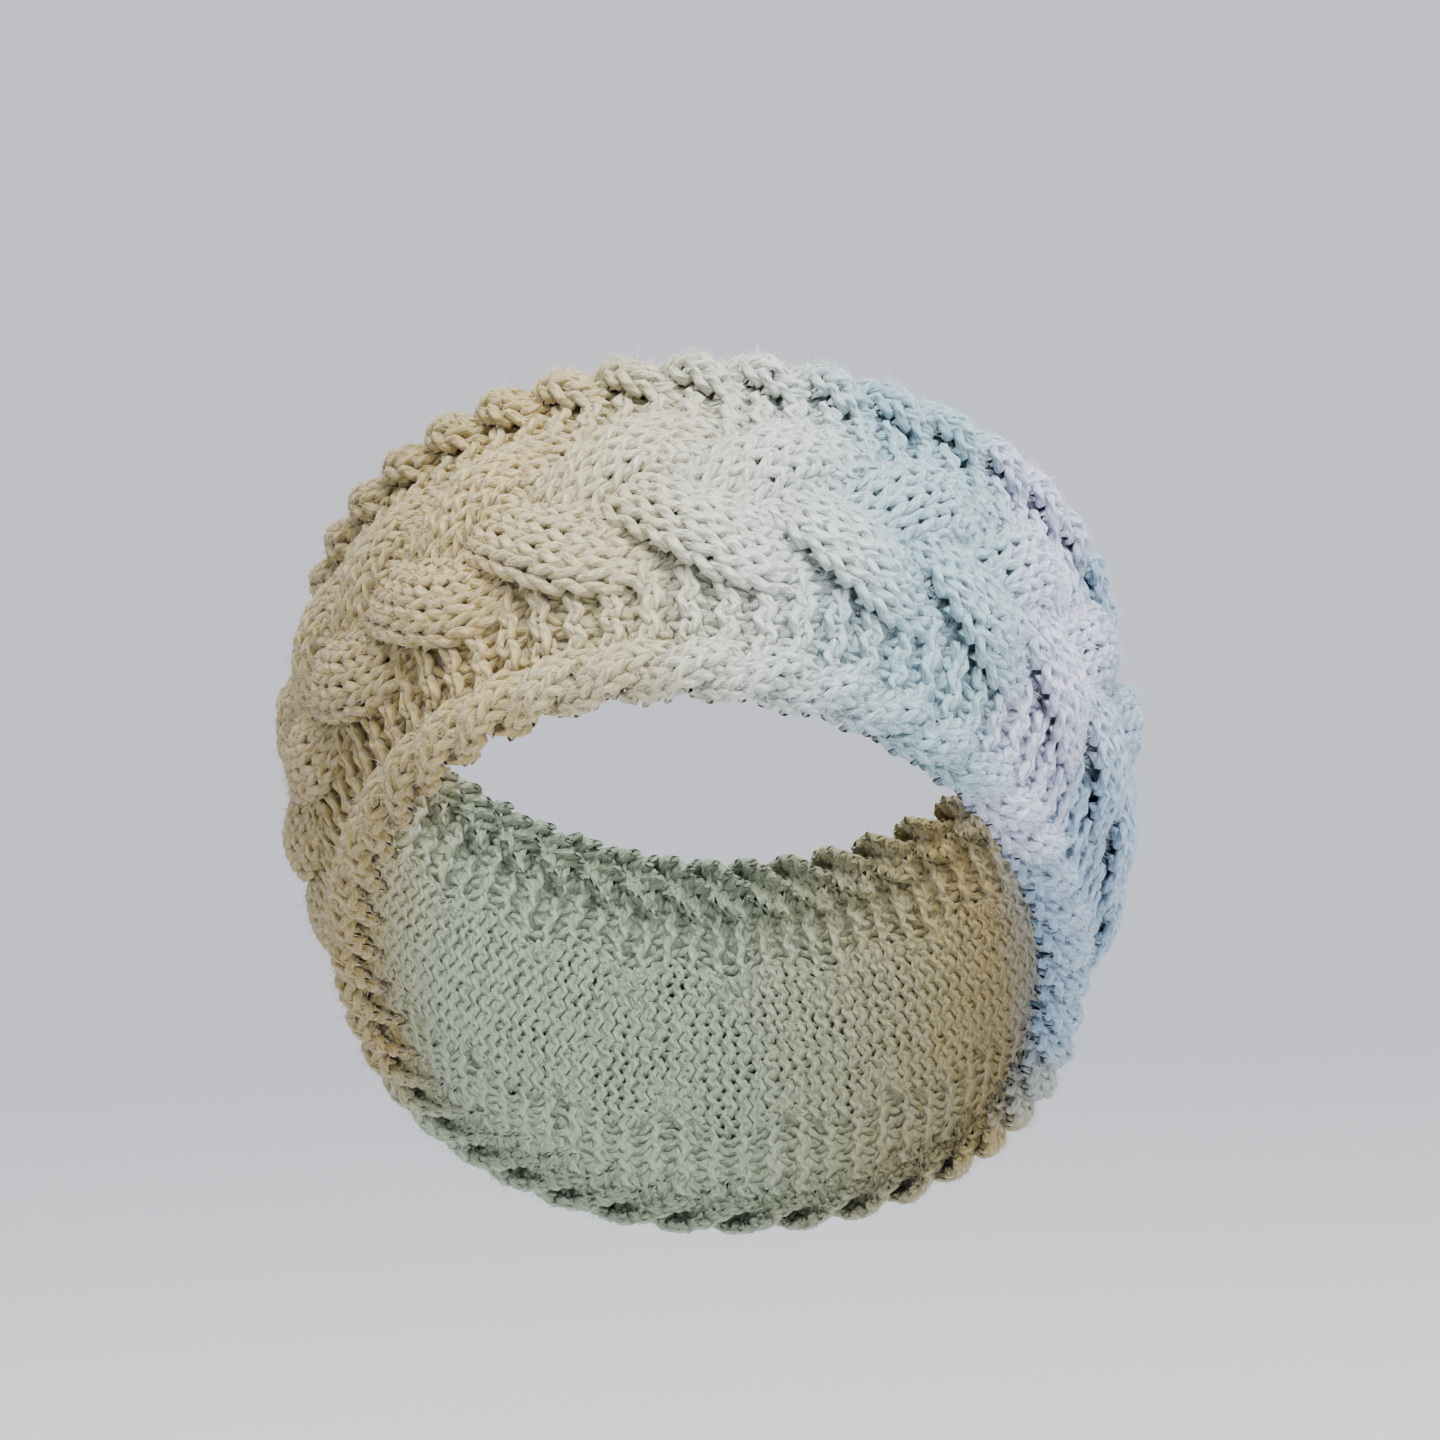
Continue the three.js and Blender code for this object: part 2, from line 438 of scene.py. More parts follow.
def tucked(across, phase, columns, both):
    """Ends that turn back under their row by END_TUCK times the square of the share of the end run.

    The last end only does so where both is true, and otherwise runs straight on.
    """
    before, after = end_share(phase, columns)
    low = END_TUCK * before ** 2
    high = columns - END_TUCK * after ** 2 if both else columns + END_RUN * after
    return np.where(before > 0, low, np.where(after > 0, high, across))


def wander(rng, rows, phase, columns, amount):
    """Noise that goes smoothly from stitch to stitch: random values at the stitch edges joined by smooth steps."""
    values = rng.normal(0.0, amount, (rows, columns + 3))
    position = phase / TURN + 1
    index = np.floor(position).astype(int)
    part = smooth_step(position - index)
    return values[:, index] * (1 - part) + values[:, index + 1] * part


def row_leaves():
    """Leaf count of each row, from the middle of the back round to it again."""
    return (np.arange(ROWS) + 0.5) / ROWS_PER_LEAF - LEAVES / 2


def loop_curve(knit, rng, phase, columns, both=True):
    """Yarn path of the rows in the fabric's own plane: across in columns, ahead in rows, and outward share.

    across = phase / turn + bulge * sin(2 phase), ahead = -reach * cos(phase), outward = -cos(2 phase), so that
    the legs stand in front and open ahead like a V. Small seeded wander makes each stitch its own.
    """
    uneven = knit.unevenness
    bulge = knit.loop_bulge * (1 + wander(rng, ROWS, phase, columns, BULGE_WANDER * uneven))
    across = phase / TURN + bulge * np.sin(2 * phase)
    across = across + wander(rng, ROWS, phase, columns, ACROSS_WANDER * uneven)
    across = tucked(across, phase, columns, both)
    reach = knit.loop_reach * (1 + wander(rng, ROWS, phase, columns, REACH_WANDER * uneven))
    ahead = -reach * np.cos(phase) + wander(rng, ROWS, phase, columns, AHEAD_WANDER * uneven)
    outward = -np.cos(2 * phase) + wander(rng, ROWS, phase, columns, DEPTH_WANDER * uneven)
    return across, ahead, outward


def laid(along, across, height, painted_light, fullness):
    """The run of yarn through these places of the band; outward is the step from a point to one just above."""
    points = place(along, across, height)
    above = place(along, across, height + 1.0)
    grids = np.broadcast_arrays(along, painted_light, fullness)
    return Run(points, unit(above - points), *grids)


def carry_along(path, leaf, offset, outward, painted_light):
    """Yarn of a ribbon of stitches that follows a path.

    The path gives place across, height and heading. The offset is laid square to the heading in the fabric's
    plane: along = distance - offset * sin(heading), across = place + offset * cos(heading).
    """
    centre, height, heading = path(leaf)
    along = distance_round(leaf) - offset * np.sin(heading)
    across = centre + offset * np.cos(heading)
    return laid(along, across, height + outward, painted_light, 1.0)


def painted_light_of(outward, droop_share):
    """Painted light, from 0 in painted shade deep between the stitches to 1 on their crowns: half of 1 + outward,
    less where the section droops.
    """
    return np.clip((0.5 + 0.5 * outward) * (1 - EDGE_PAINTED_SHADE * droop_share), 0.0, 1.0)


def heading_of(path_across, leaf):
    """Angle of a path in the fabric's plane: the arc tangent of its step across over its step along."""
    step = 0.01
    rise = path_across(leaf + step) - path_across(leaf - step)
    return np.arctan2(rise, distance_round(leaf + step) - distance_round(leaf - step))


def strand_angle(leaf, strand):
    """Phase of a plait strand: a turn in every three leaves, a third of a turn apart."""
    return TURN * (leaf / STRANDS + PLAIT_PHASE + strand / STRANDS)


def plait_rows(knit, strand, rng):
    """Yarn rows of one plait strand.

    The strand swings by sin(angle) and rises by sin(2 angle), so it lies on top where it runs outward. Its section
    is domed: it droops by a power of the share of its half width, more where it lies on top.
    """
    phase = yarn_phase(STRAND_COLUMNS, CABLE_SEGMENTS)
    across, ahead, outward = loop_curve(knit, rng, phase, STRAND_COLUMNS)
    leaf = row_leaves()[:, None] + ahead / ROWS_PER_LEAF
    angle = strand_angle(leaf, strand)

    def swing(at):
        return PLAIT_SWING * np.sin(strand_angle(at, strand))

    def path(at):
        turn = strand_angle(at, strand)
        return swing(at), PLAIT_CENTRE + PLAIT_RISE * np.sin(2 * turn), heading_of(swing, at)

    share = 2 * across / STRAND_COLUMNS - 1
    over = smooth_step((np.sin(2 * angle) - OVER_START) / OVER_SPAN)
    droop = STRAND_DROOP_UNDER + (STRAND_DROOP_OVER - STRAND_DROOP_UNDER) * over
    height = knit.loop_depth / MM * outward
    height = height - droop * np.abs(share) ** STRAND_DROOP_POWER + STRAND_TILT * np.cos(angle) * share
    height = height - end_dive(phase, STRAND_COLUMNS)
    # Painted light: painted shade between stitches, towards the strand's edges and where it lies below another
    # strand.
    painted_light = painted_light_of(outward, np.abs(share) ** 3) * (UNDER_PAINTED_LIGHT + (1 - UNDER_PAINTED_LIGHT) * over)
    return carry_along(path, leaf, share * STRAND_HALF_WIDTH, height, painted_light)


def rope_rows(knit, side, strand, rng):
    """Yarn rows of one of a rope's two strands, which circle one another: cos(turn) across, sin(turn) outward."""
    full = UPPER_ROPE_FULLNESS if side > 0 else 1.0
    phase = yarn_phase(ROPE_COLUMNS, CABLE_SEGMENTS)
    across, ahead, outward = loop_curve(knit, rng, phase, ROPE_COLUMNS)
    leaf = row_leaves()[:, None] + ahead / ROWS_PER_LEAF

    def twist(at):
        return side * math.pi * (2 * at + ROPE_PHASE) + strand * math.pi

    def swing(at):
        return side * ROPE_PLACE + full * ROPE_SWING * np.cos(twist(at))

    def path(at):
        return swing(at), ROPE_CENTRE + full * ROPE_RISE * np.sin(twist(at)), heading_of(swing, at)

    share = 2 * across / ROPE_COLUMNS - 1
    height = knit.loop_depth / MM * outward - full * ROPE_DROOP * np.abs(share) ** 2
    height = height - end_dive(phase, ROPE_COLUMNS)
    # Painted light: painted shade between stitches, towards the edges and where this strand passes below the other.
    painted_light = painted_light_of(outward, np.abs(share) ** 3) * (1 - ROPE_PAINTED_SHADE + ROPE_PAINTED_SHADE * np.sin(twist(leaf)))
    rows = carry_along(path, leaf, share * full * ROPE_HALF_WIDTH, height, painted_light)
    return rows._replace(fullness=np.full_like(rows.along, math.sqrt(full)))


def ground_rows(knit, side, rng):
    """Yarn rows of one half of the ground, from under the rope across the gutter to the middle line.

    The gutter is garter stitch: rows lean outward and inward in turn, as -cos(phase), so that the heads of one
    row and the feet of the next make a ridge together. Past it the rows run flat behind the plait. The gutter's
    inner columns widen into the notch between two leaves.
    """
    columns = len(GROUND_EDGES) - 1
    phase = yarn_phase(columns, GROUND_SEGMENTS)
    across, ahead, outward = loop_curve(knit, rng, phase, columns, both=False)
    leaf = row_leaves()[:, None] + ahead / ROWS_PER_LEAF
    distance = np.interp(across, np.arange(columns + 1), GROUND_EDGES)
    distance = distance - np.maximum(across - columns, 0.0) * GROUND_EDGES[-2]
    notch = (0.5 + 0.5 * np.cos(TURN * (leaf - notch_leaf(side)))) ** NOTCH_POWER
    inward = smooth_step(across / GUTTER_COLUMNS) * (1 - smooth_step((across - GUTTER_COLUMNS) / NOTCH_FADE))
    distance = distance - NOTCH_REACH * notch * inward
    gutter = 1 - smooth_step((across - GUTTER_COLUMNS - THIN_START) / THIN_SPAN)
    garter = np.where(np.arange(ROWS) % 2 == 0, 1.0, -1.0)[:, None]
    lean = -garter * np.cos(phase) + GARTER_UNEVENNESS * (outward + np.cos(2 * phase))
    leaf = leaf + garter * gutter * RIDGE_PULL / ROWS_PER_LEAF
    centre = BACKING_CENTRE + (GUTTER_CENTRE - BACKING_CENTRE) * gutter
    height = centre + BACKING_DEPTH * outward * (1 - gutter) + GUTTER_DEPTH * lean * gutter
    height = height - GROUND_END_DIVE * end_share(phase, columns)[0] ** 2
    # Painted light: the crests of the gutter's ridges and of the backing's loops lighter, painted shade between
    # them.
    painted_light = np.clip(0.5 + 0.5 * (outward * (1 - gutter) + lean * gutter), 0.0, 1.0)
    fullness = BACKING_FULLNESS + (GUTTER_FULLNESS - BACKING_FULLNESS) * gutter
    return laid(distance_round(leaf), side * distance, height, painted_light, fullness)


def notch_leaf(side):
    """Leaf count at the middle of the first notch: where the plait's edge lies furthest in, on that side."""
    return 3 * (0.25 - PLAIT_PHASE) + (0.5 if side > 0 else 0.0)


def bar_rows(side, rng):
    """Short lengths of yarn from under a leaf's end to the gutter, each a shallow arch with a slight lean."""
    count = LEAVES * BARS_PER_NOTCH
    order = np.arange(count)
    leaf = notch_leaf(side) - LEAVES / 2 - 0.5 + order // BARS_PER_NOTCH
    leaf = leaf + np.take(BAR_PLACES, order % BARS_PER_NOTCH) + rng.normal(0.0, BAR_SCATTER, count)
    part = np.linspace(0.0, 1.0, BAR_SAMPLES)[None, :]
    lean = rng.normal(*BAR_LEAN, (count, 1))
    inner = BAR_INNER + rng.normal(0.0, BAR_INNER_SCATTER, (count, 1))
    distance = inner + (BAR_OUTER - inner) * part
    along = distance_round(leaf[:, None]) + lean * (part - 0.5) + BAR_BEND * np.sin(TURN * part)
    height = BAR_FOOT + BAR_ARCH * np.sin(math.pi * part) - BAR_FALL * part
    return laid(along, side * distance, height, BAR_PAINTED_LIGHT, BAR_FULLNESS)


def tube_faces(rows, samples, sides):
    """Corner indices of closed tubes: the side quads, then the two end caps of each tube."""
    row, step, side = np.meshgrid(np.arange(rows), np.arange(samples - 1), np.arange(sides), indexing="ij")
    beside = (side + 1) % sides
    here = (row * samples + step) * sides
    ahead = here + sides
    quads = np.stack([here + side, here + beside, ahead + beside, ahead + side], axis=-1).reshape(-1, 4)
    first = np.arange(rows)[:, None] * samples * sides
    around = np.arange(sides)[None, :]
    starts = first + around[:, ::-1]
    ends = first + (samples - 1) * sides + around
    return quads, np.concatenate([starts, ends])


def tube_coordinates(length, rows, samples, sides):
    """Two numbers for each corner: centimetres along the yarn, and turns round it."""
    row, step, side = np.meshgrid(np.arange(rows), np.arange(samples - 1), np.arange(sides), indexing="ij")
    near, far = length[row, step], length[row, step + 1]
    low, high = side / sides, (side + 1) / sides
    pairs = [(near, low), (near, high), (far, high), (far, low)]
    quads = np.stack([np.stack(pair, axis=-1) for pair in pairs], axis=3).reshape(-1, 2)
    around = np.tile(np.arange(sides) / sides, rows)
    starts = np.stack([np.repeat(length[:, 0], sides), around[::-1]], axis=-1)
    ends = np.stack([np.repeat(length[:, -1], sides), around], axis=-1)
    return np.concatenate([quads, starts, ends])


def mesh_object(name, points, corners, starts, coordinates, round_share, painted_light):
    """A new smooth object from flat arrays: points, corner indices, first corner of each face, and attributes."""
    mesh = bpy.data.meshes.new(name)
    mesh.vertices.add(len(points))
    mesh.vertices.foreach_set("co", points.astype(np.float32).ravel())
    mesh.loops.add(len(corners))
    mesh.loops.foreach_set("vertex_index", corners.astype(np.int32))
    mesh.polygons.add(len(starts))
    mesh.polygons.foreach_set("loop_start", starts.astype(np.int32))
    mesh.update(calc_edges=True)
    layer = mesh.uv_layers.new(name="yarn")
    layer.data.foreach_set("uv", coordinates.astype(np.float32).ravel())
    for label, values in (("round", round_share), ("painted_light", painted_light)):
        attribute = mesh.attributes.new(label, "FLOAT", "POINT")
        attribute.data.foreach_set("value", values.astype(np.float32).ravel())
    mesh.polygons.foreach_set("use_smooth", np.ones(len(starts), dtype=bool))
    mesh.validate()
    piece = bpy.data.objects.new(name, mesh)
    bpy.context.scene.collection.objects.link(piece)
    return piece


def joined(runs):
    """One run with the rows of them all."""
    return Run(*[np.concatenate(grids) for grids in zip(*runs)])


def yarn_object(name, run, diameter, sides, rng, two_faced=False):
    """One piece of yarn tubes along the rows of a run.

    A tube's section is a regular polygon across the path, its first corner turned to the outward direction.
    Painted light falls from the row's own value on the crest to 0 underneath, as (0.5 + 0.5 cosine) to a power, so
    the sides and underside of each tube get painted shade.
    Where both faces of the fabric show, the underside has the rest of the row's value in the same way.
    """
    points, outward = run.points, run.outward
    rows, samples = points.shape[:2]
    tangent = unit(np.gradient(points, axis=1))
    sideways = unit(np.cross(tangent, outward))
    upward = np.cross(sideways, tangent)
    radius = diameter / 2 * run.fullness * (1 + rng.normal(0.0, THICKNESS_WANDER, (rows, samples)))
    angle = np.arange(sides) / sides * TURN
    ring = np.cos(angle)[:, None] * upward[:, :, None, :] + np.sin(angle)[:, None] * sideways[:, :, None, :]
    skin = points[:, :, None, :] + radius[:, :, None, None] * ring
    steps = np.linalg.norm(np.diff(points, axis=1), axis=-1)
    length = np.concatenate([np.zeros((rows, 1)), np.cumsum(steps, axis=1)], axis=1) * 100
    length = length + rng.uniform(0.0, START_RANGE, (rows, 1))
    quads, caps = tube_faces(rows, samples, sides)
    corners = np.concatenate([quads.ravel(), caps.ravel()])
    starts = np.concatenate([
        np.arange(len(quads)) * 4,
        quads.size + np.arange(len(caps)) * sides,
    ])
    share = np.repeat((run.along / LOOP_LENGTH).ravel(), sides)
    row_painted_light = run.painted_light[:, :, None]
    painted_light = row_painted_light * (0.5 + 0.5 * np.cos(angle)) ** PAINTED_SHADE_FALL
    if two_faced:
        painted_light = np.maximum(painted_light, (1 - row_painted_light) * (0.5 - 0.5 * np.cos(angle)) ** PAINTED_SHADE_FALL)
    coordinates = tube_coordinates(length, rows, samples, sides)
    return mesh_object(name, skin.reshape(-1, 3), corners, starts, coordinates, share, painted_light)


def fibre_object(name, run, reach, bent, count, rng):
    """Fine fibres that stand off the yarn of a run, each a closed three-sided needle.

    A needle runs from a random place on the yarn's outer side, outward and along a random sideways drift, for
    reach[0] plus reach[1] times a squared random share. A bent one turns once, half way, towards another side.
    """
    crowns = np.argwhere(run.painted_light > HALO_ROOT_LIGHT)
    chosen = crowns[rng.integers(0, len(crowns), count)]
    root = run.points[chosen[:, 0], chosen[:, 1]]
    outward = run.outward[chosen[:, 0], chosen[:, 1]]
    drift = rng.normal(0.0, 1.0, (count, 3))
    drift = unit(drift - np.sum(drift * outward, axis=1, keepdims=True) * outward)
    heading = unit(outward + rng.uniform(*HALO_LEAN, (count, 1)) * drift)
    sway = unit(drift + rng.normal(0.0, HALO_SWAY, (count, 3)))
    length = (reach[0] + reach[1] * rng.random((count, 1)) ** 2) * MM
    start = root + heading * HALO_ROOT * MM
    middle = start + heading * length * 0.5
    tip = middle + (unit(heading + HALO_BEND * sway) if bent else heading) * length * 0.5
    side = unit(np.cross(heading, sway))
    other = np.cross(heading, side)
    angle = np.arange(3) / 3 * TURN
    spread = np.cos(angle)[:, None] * side[:, None, :] + np.sin(angle)[:, None] * other[:, None, :]
    half = HALO_WIDTH / 2 * MM
    rings = [start[:, None, :] + half * spread]
    quads = np.zeros((0, 4), dtype=int)
    if bent:
        rings.append(middle[:, None, :] + HALO_TAPER * half * spread)
        quads = np.array([[0, 1, 4, 3], [1, 2, 5, 4], [2, 0, 3, 5]])
    points = np.concatenate([*rings, tip[:, None, :]], axis=1)
    each = points.shape[1]
    last = each - 1
    triangles = np.array([
        [2, 1, 0], [last - 3, last - 2, last], [last - 2, last - 1, last], [last - 1, last - 3, last]])
    first = np.arange(count)[:, None, None] * each
    quad_corners = (first + quads).ravel()
    corners = np.concatenate([quad_corners, (first + triangles).ravel()])
    starts = np.concatenate([
        np.arange(count * len(quads)) * 4,
        len(quad_corners) + np.arange(count * 4) * 3,
    ])
    share = np.repeat(run.along[chosen[:, 0], chosen[:, 1]] / LOOP_LENGTH, each)
    coordinates = np.zeros((len(corners), 2))
    painted_light = np.ones(count * each)
    return mesh_object(name, points.reshape(-1, 3), corners, starts, coordinates, share, painted_light)


def web_object(name, side):
    """The matted wool deep in a gutter: a thin strip round the loop, with a rectangle as its section.

    Its height follows the fabric's middle: a cosine with a crest at every second edge between two rows.
    """
    steps = ROWS * 2
    row = np.arange(steps + 1) / 2
    half = WEB_THICKNESS / 2
    section = np.array([[WEB_INNER, -half], [WEB_OUTER, -half], [WEB_OUTER, half], [WEB_INNER, half]])
    section = section[::side]
    along = distance_round(row / ROWS_PER_LEAF - LEAVES / 2)[:, None] + np.zeros(4)
    height = GUTTER_CENTRE - WEB_WAVE * np.cos(math.pi * row)[:, None] + section[:, 1]
    points = place(along, side * section[:, 0] + np.zeros_like(along), height)
    step, corner = np.meshgrid(np.arange(steps), np.arange(4), indexing="ij")
    beside = (corner + 1) % 4
    quads = np.stack([
        step * 4 + corner, step * 4 + beside, step * 4 + 4 + beside, step * 4 + 4 + corner], axis=-1).reshape(-1, 4)
    caps = np.array([[3, 2, 1, 0], [4 * steps, 4 * steps + 1, 4 * steps + 2, 4 * steps + 3]])
    faces = np.concatenate([quads, caps])
    coordinates = np.stack([faces.ravel() // 4 * WEB_FACE[0], faces.ravel() % 4 * WEB_FACE[1]], axis=-1)
    share = (along / LOOP_LENGTH).ravel()
    # Painted light of the web: below 1, so it carries some painted shade.
    painted_light = np.full(len(share), WEB_PAINTED_LIGHT)
    starts = np.arange(len(faces)) * 4
    return mesh_object(name, points.reshape(-1, 3), faces.ravel(), starts, coordinates, share, painted_light)


def add_node(tree, kind, **values):
    """A shader node with its settings and unlinked inputs set by name."""
    node = tree.nodes.new(kind)
    for key, value in values.items():
        setattr(node, key, value)
    return node


def math_node(tree, operation, first, second=None):
    """The result socket of a Math node on sockets or numbers."""
    node = add_node(tree, "ShaderNodeMath", operation=operation)
    for slot, value in enumerate((first, second)):
        if value is None:
            continue
        if isinstance(value, (int, float)):
            node.inputs[slot].default_value = value
        else:
            tree.links.new(value, node.inputs[slot])
    return node.outputs[0]


def noise_node(tree, vector, scale, detail):
    """The factor socket of a Noise Texture on a vector."""
    node = add_node(tree, "ShaderNodeTexNoise")
    node.inputs["Scale"].default_value = scale
    node.inputs["Detail"].default_value = detail
    tree.links.new(vector, node.inputs["Vector"])
    return node.outputs["Fac"]


def shade_socket(tree, wool, vector):
    """Shade of the yarn: the share of the loop, nudged by slow noise, looked up in the row of shades."""
    share = add_node(tree, "ShaderNodeAttribute", attribute_name="round").outputs["Fac"]
    noise = noise_node(tree, vector, DRIFT_SCALE, DRIFT_DETAIL)
    drift = math_node(tree, "MULTIPLY", math_node(tree, "SUBTRACT", noise, 0.5), DRIFT_SHARE)
    moved = math_node(tree, "FRACT", math_node(tree, "ADD", math_node(tree, "ADD", share, 0.5), drift))
    ramp = add_node(tree, "ShaderNodeValToRGB")
    elements = ramp.color_ramp.elements
    while len(elements) < len(SHADE_STOPS):
        elements.new(0.5)
    for element, (position, shade) in zip(elements, SHADE_STOPS):
        element.position = position
        element.color = (*getattr(wool, shade), 1.0)
    tree.links.new(moved, ramp.inputs["Fac"])
    return ramp.outputs["Color"]


def mix_colours(tree, factor, first, second, blend="MIX"):
    """The colour socket of a Mix node; each part is a socket or a constant."""
    node = add_node(tree, "ShaderNodeMix", data_type="RGBA", blend_type=blend)
    for socket, value in ((node.inputs[0], factor), (node.inputs[6], first), (node.inputs[7], second)):
        if isinstance(value, bpy.types.NodeSocket):
            tree.links.new(value, socket)
        else:
            socket.default_value = value
    return node.outputs[2]


def shifted(tree, shade, saturation, value):
    """The shade with its saturation and value multiplied."""
    node = add_node(tree, "ShaderNodeHueSaturation")
    node.inputs["Saturation"].default_value = saturation
    node.inputs["Value"].default_value = value
    tree.links.new(shade, node.inputs["Color"])
    return node.outputs["Color"]


def halo_material(wool):
    """Loose fibres: the yarn's shades, paler, matt and with a soft sheen."""
    material = bpy.data.materials.new("halo wool")
    material.use_nodes = True
    tree = material.node_tree
    shader = tree.nodes["Principled BSDF"]
    place_on = add_node(tree, "ShaderNodeTexCoord").outputs["Object"]
    pale = shifted(tree, shade_socket(tree, wool, place_on), *HALO_SHADE)
    tree.links.new(pale, shader.inputs["Base Color"])
    shader.inputs["Roughness"].default_value = 0.9
    shader.inputs["Sheen Weight"].default_value = 0.3
    return material


def wool_material(name, wool, ply_depth, lightness):
    """Plied wool: shades round the loop, painted shade between the stitches and down the yarn's sides, lighter
    fibres on the ply and painted shade in its grooves, and a matt sheen.
    """
    material = bpy.data.materials.new(name)
    material.use_nodes = True
    tree = material.node_tree
    shader = tree.nodes["Principled BSDF"]
    place_on = add_node(tree, "ShaderNodeTexCoord").outputs["Object"]
    yarn = add_node(tree, "ShaderNodeUVMap", uv_map="yarn").outputs["UV"]
    crown = shade_socket(tree, wool, place_on)
    # Painted shade: where the painted light attribute falls, the colour is mixed towards a darker, more saturated
    # copy of the yarn's shade.
    painted_light = add_node(tree, "ShaderNodeAttribute", attribute_name="painted_light").outputs["Fac"]
    shade = mix_colours(tree, painted_light, shifted(tree, crown, *PAINTED_CREASE_SHADE), crown)
    twist = add_node(tree, "ShaderNodeVectorMath", operation="DOT_PRODUCT")
    twist.inputs[1].default_value = (PLY_TURNS, PLIES, 0.0)
    tree.links.new(yarn, twist.inputs[0])
    wave = math_node(tree, "SINE", math_node(tree, "MULTIPLY", twist.outputs["Value"], TURN))
    ply = math_node(tree, "MULTIPLY_ADD", wave, 0.5)
    ply.node.inputs[2].default_value = 0.5
    stretch = add_node(tree, "ShaderNodeVectorMath", operation="MULTIPLY")
    stretch.inputs[1].default_value = FIBRE_STRETCH
    tree.links.new(yarn, stretch.inputs[0])
    fibre = noise_node(tree, stretch.outputs["Vector"], 1.0, 3.0)
    mottle = noise_node(tree, place_on, MOTTLE_SCALE, 2.0)
    # Painted shade in the grooves between the plies: the colour is multiplied by a darker tint where the ply wave
    # is low.
    groove_shade_share = math_node(tree, "MULTIPLY", math_node(tree, "SUBTRACT", 1.0, ply), GROOVE_SHADE_STRENGTH)
    groove_shaded = mix_colours(tree, groove_shade_share, shade, GROOVE_SHADE_TINT, "MULTIPLY")
    raised = math_node(tree, "MULTIPLY", math_node(tree, "SUBTRACT", fibre, FIBRE_START), FIBRE_SHARPNESS)
    raised.node.use_clamp = True
    streak = math_node(tree, "MULTIPLY", math_node(tree, "ADD", raised, mottle), lightness)
    pale = mix_colours(tree, streak, groove_shaded, shifted(tree, crown, *FIBRE_SHADE))
    tree.links.new(pale, shader.inputs["Base Color"])
    ply_height = math_node(tree, "MULTIPLY", ply, ply_depth)
    height = math_node(tree, "ADD", ply_height, math_node(tree, "MULTIPLY", fibre, FIBRE_HEIGHT))
    bump = add_node(tree, "ShaderNodeBump")
    bump.inputs["Strength"].default_value = 1.0
    bump.inputs["Distance"].default_value = BUMP_DISTANCE
    tree.links.new(height, bump.inputs["Height"])
    tree.links.new(bump.outputs["Normal"], shader.inputs["Normal"])
    shader.inputs["Roughness"].default_value = 0.92
    shader.inputs["Specular IOR Level"].default_value = 0.25
    shader.inputs["Sheen Weight"].default_value = 0.3
    shader.inputs["Sheen Roughness"].default_value = 0.5
    return material


def finish_piece(piece, material, node_names):
    """Gives a piece its material and its body, and hides the solids that it stands for."""
    piece.data.materials.append(material)
    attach(piece, "root")
    if node_names:
        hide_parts(*node_names)


class HEADBAND_OT_plait(bpy.types.Operator):
    """Knit the three strands of the plait"""

    bl_idname = "headband.plait"
    bl_label = "Knit Plait"

    def execute(self, context):
        knit = context.scene.headband_knit
        wool = context.scene.headband_wool
        material = wool_material("plait wool", wool, ply_depth=1.0, lightness=0.30)
        for strand in range(STRANDS):
            rng = np.random.default_rng(PLAIT_SEED + strand)
            rows = plait_rows(knit, strand, rng)
            piece = yarn_object(f"plait_knit_{strand + 1}", rows, knit.yarn_diameter, CABLE_SIDES, rng)
            finish_piece(piece, material, [f"plait_strand_{strand + 1}"])
        return {"FINISHED"}


class HEADBAND_OT_ropes(bpy.types.Operator):
    """Knit the rope cables along both edges"""

    bl_idname = "headband.ropes"
    bl_label = "Knit Rope Edges"

    def execute(self, context):
        knit = context.scene.headband_knit
        wool = context.scene.headband_wool
        material = wool_material("rope wool", wool, ply_depth=1.0, lightness=0.26)
        for name, side in (("lower", -1), ("upper", 1)):
            rng = np.random.default_rng(ROPE_SEED + side)
            rows = joined([rope_rows(knit, side, strand, rng) for strand in range(2)])
            piece = yarn_object(f"{name}_rope_knit", rows, knit.rope_diameter, CABLE_SIDES, rng)
            finish_piece(piece, material, [f"{name}_rope_edge"])
        return {"FINISHED"}


class HEADBAND_OT_ground(bpy.types.Operator):
    """Knit the garter gutters and the fabric behind the plait"""

    bl_idname = "headband.ground"
    bl_label = "Knit Ground"

    def execute(self, context):
        knit = context.scene.headband_knit
        wool = context.scene.headband_wool
        material = wool_material("gutter wool", wool, ply_depth=0.8, lightness=0.22)
        for name, side in (("lower", -1), ("upper", 1)):
            rng = np.random.default_rng(GROUND_SEED + side)
            rows = ground_rows(knit, side, rng)
            piece = yarn_object(
                f"{name}_ground_knit", rows, knit.ground_diameter, GROUND_SIDES, rng, two_faced=True)
            finish_piece(piece, material, [f"{name}_gutter", "plait_ground"])
            bars = yarn_object(f"{name}_bars", bar_rows(side, rng), knit.ground_diameter, CABLE_SIDES, rng)
            finish_piece(bars, material, [])
            finish_piece(web_object(f"{name}_web", side), material, [])
        return {"FINISHED"}


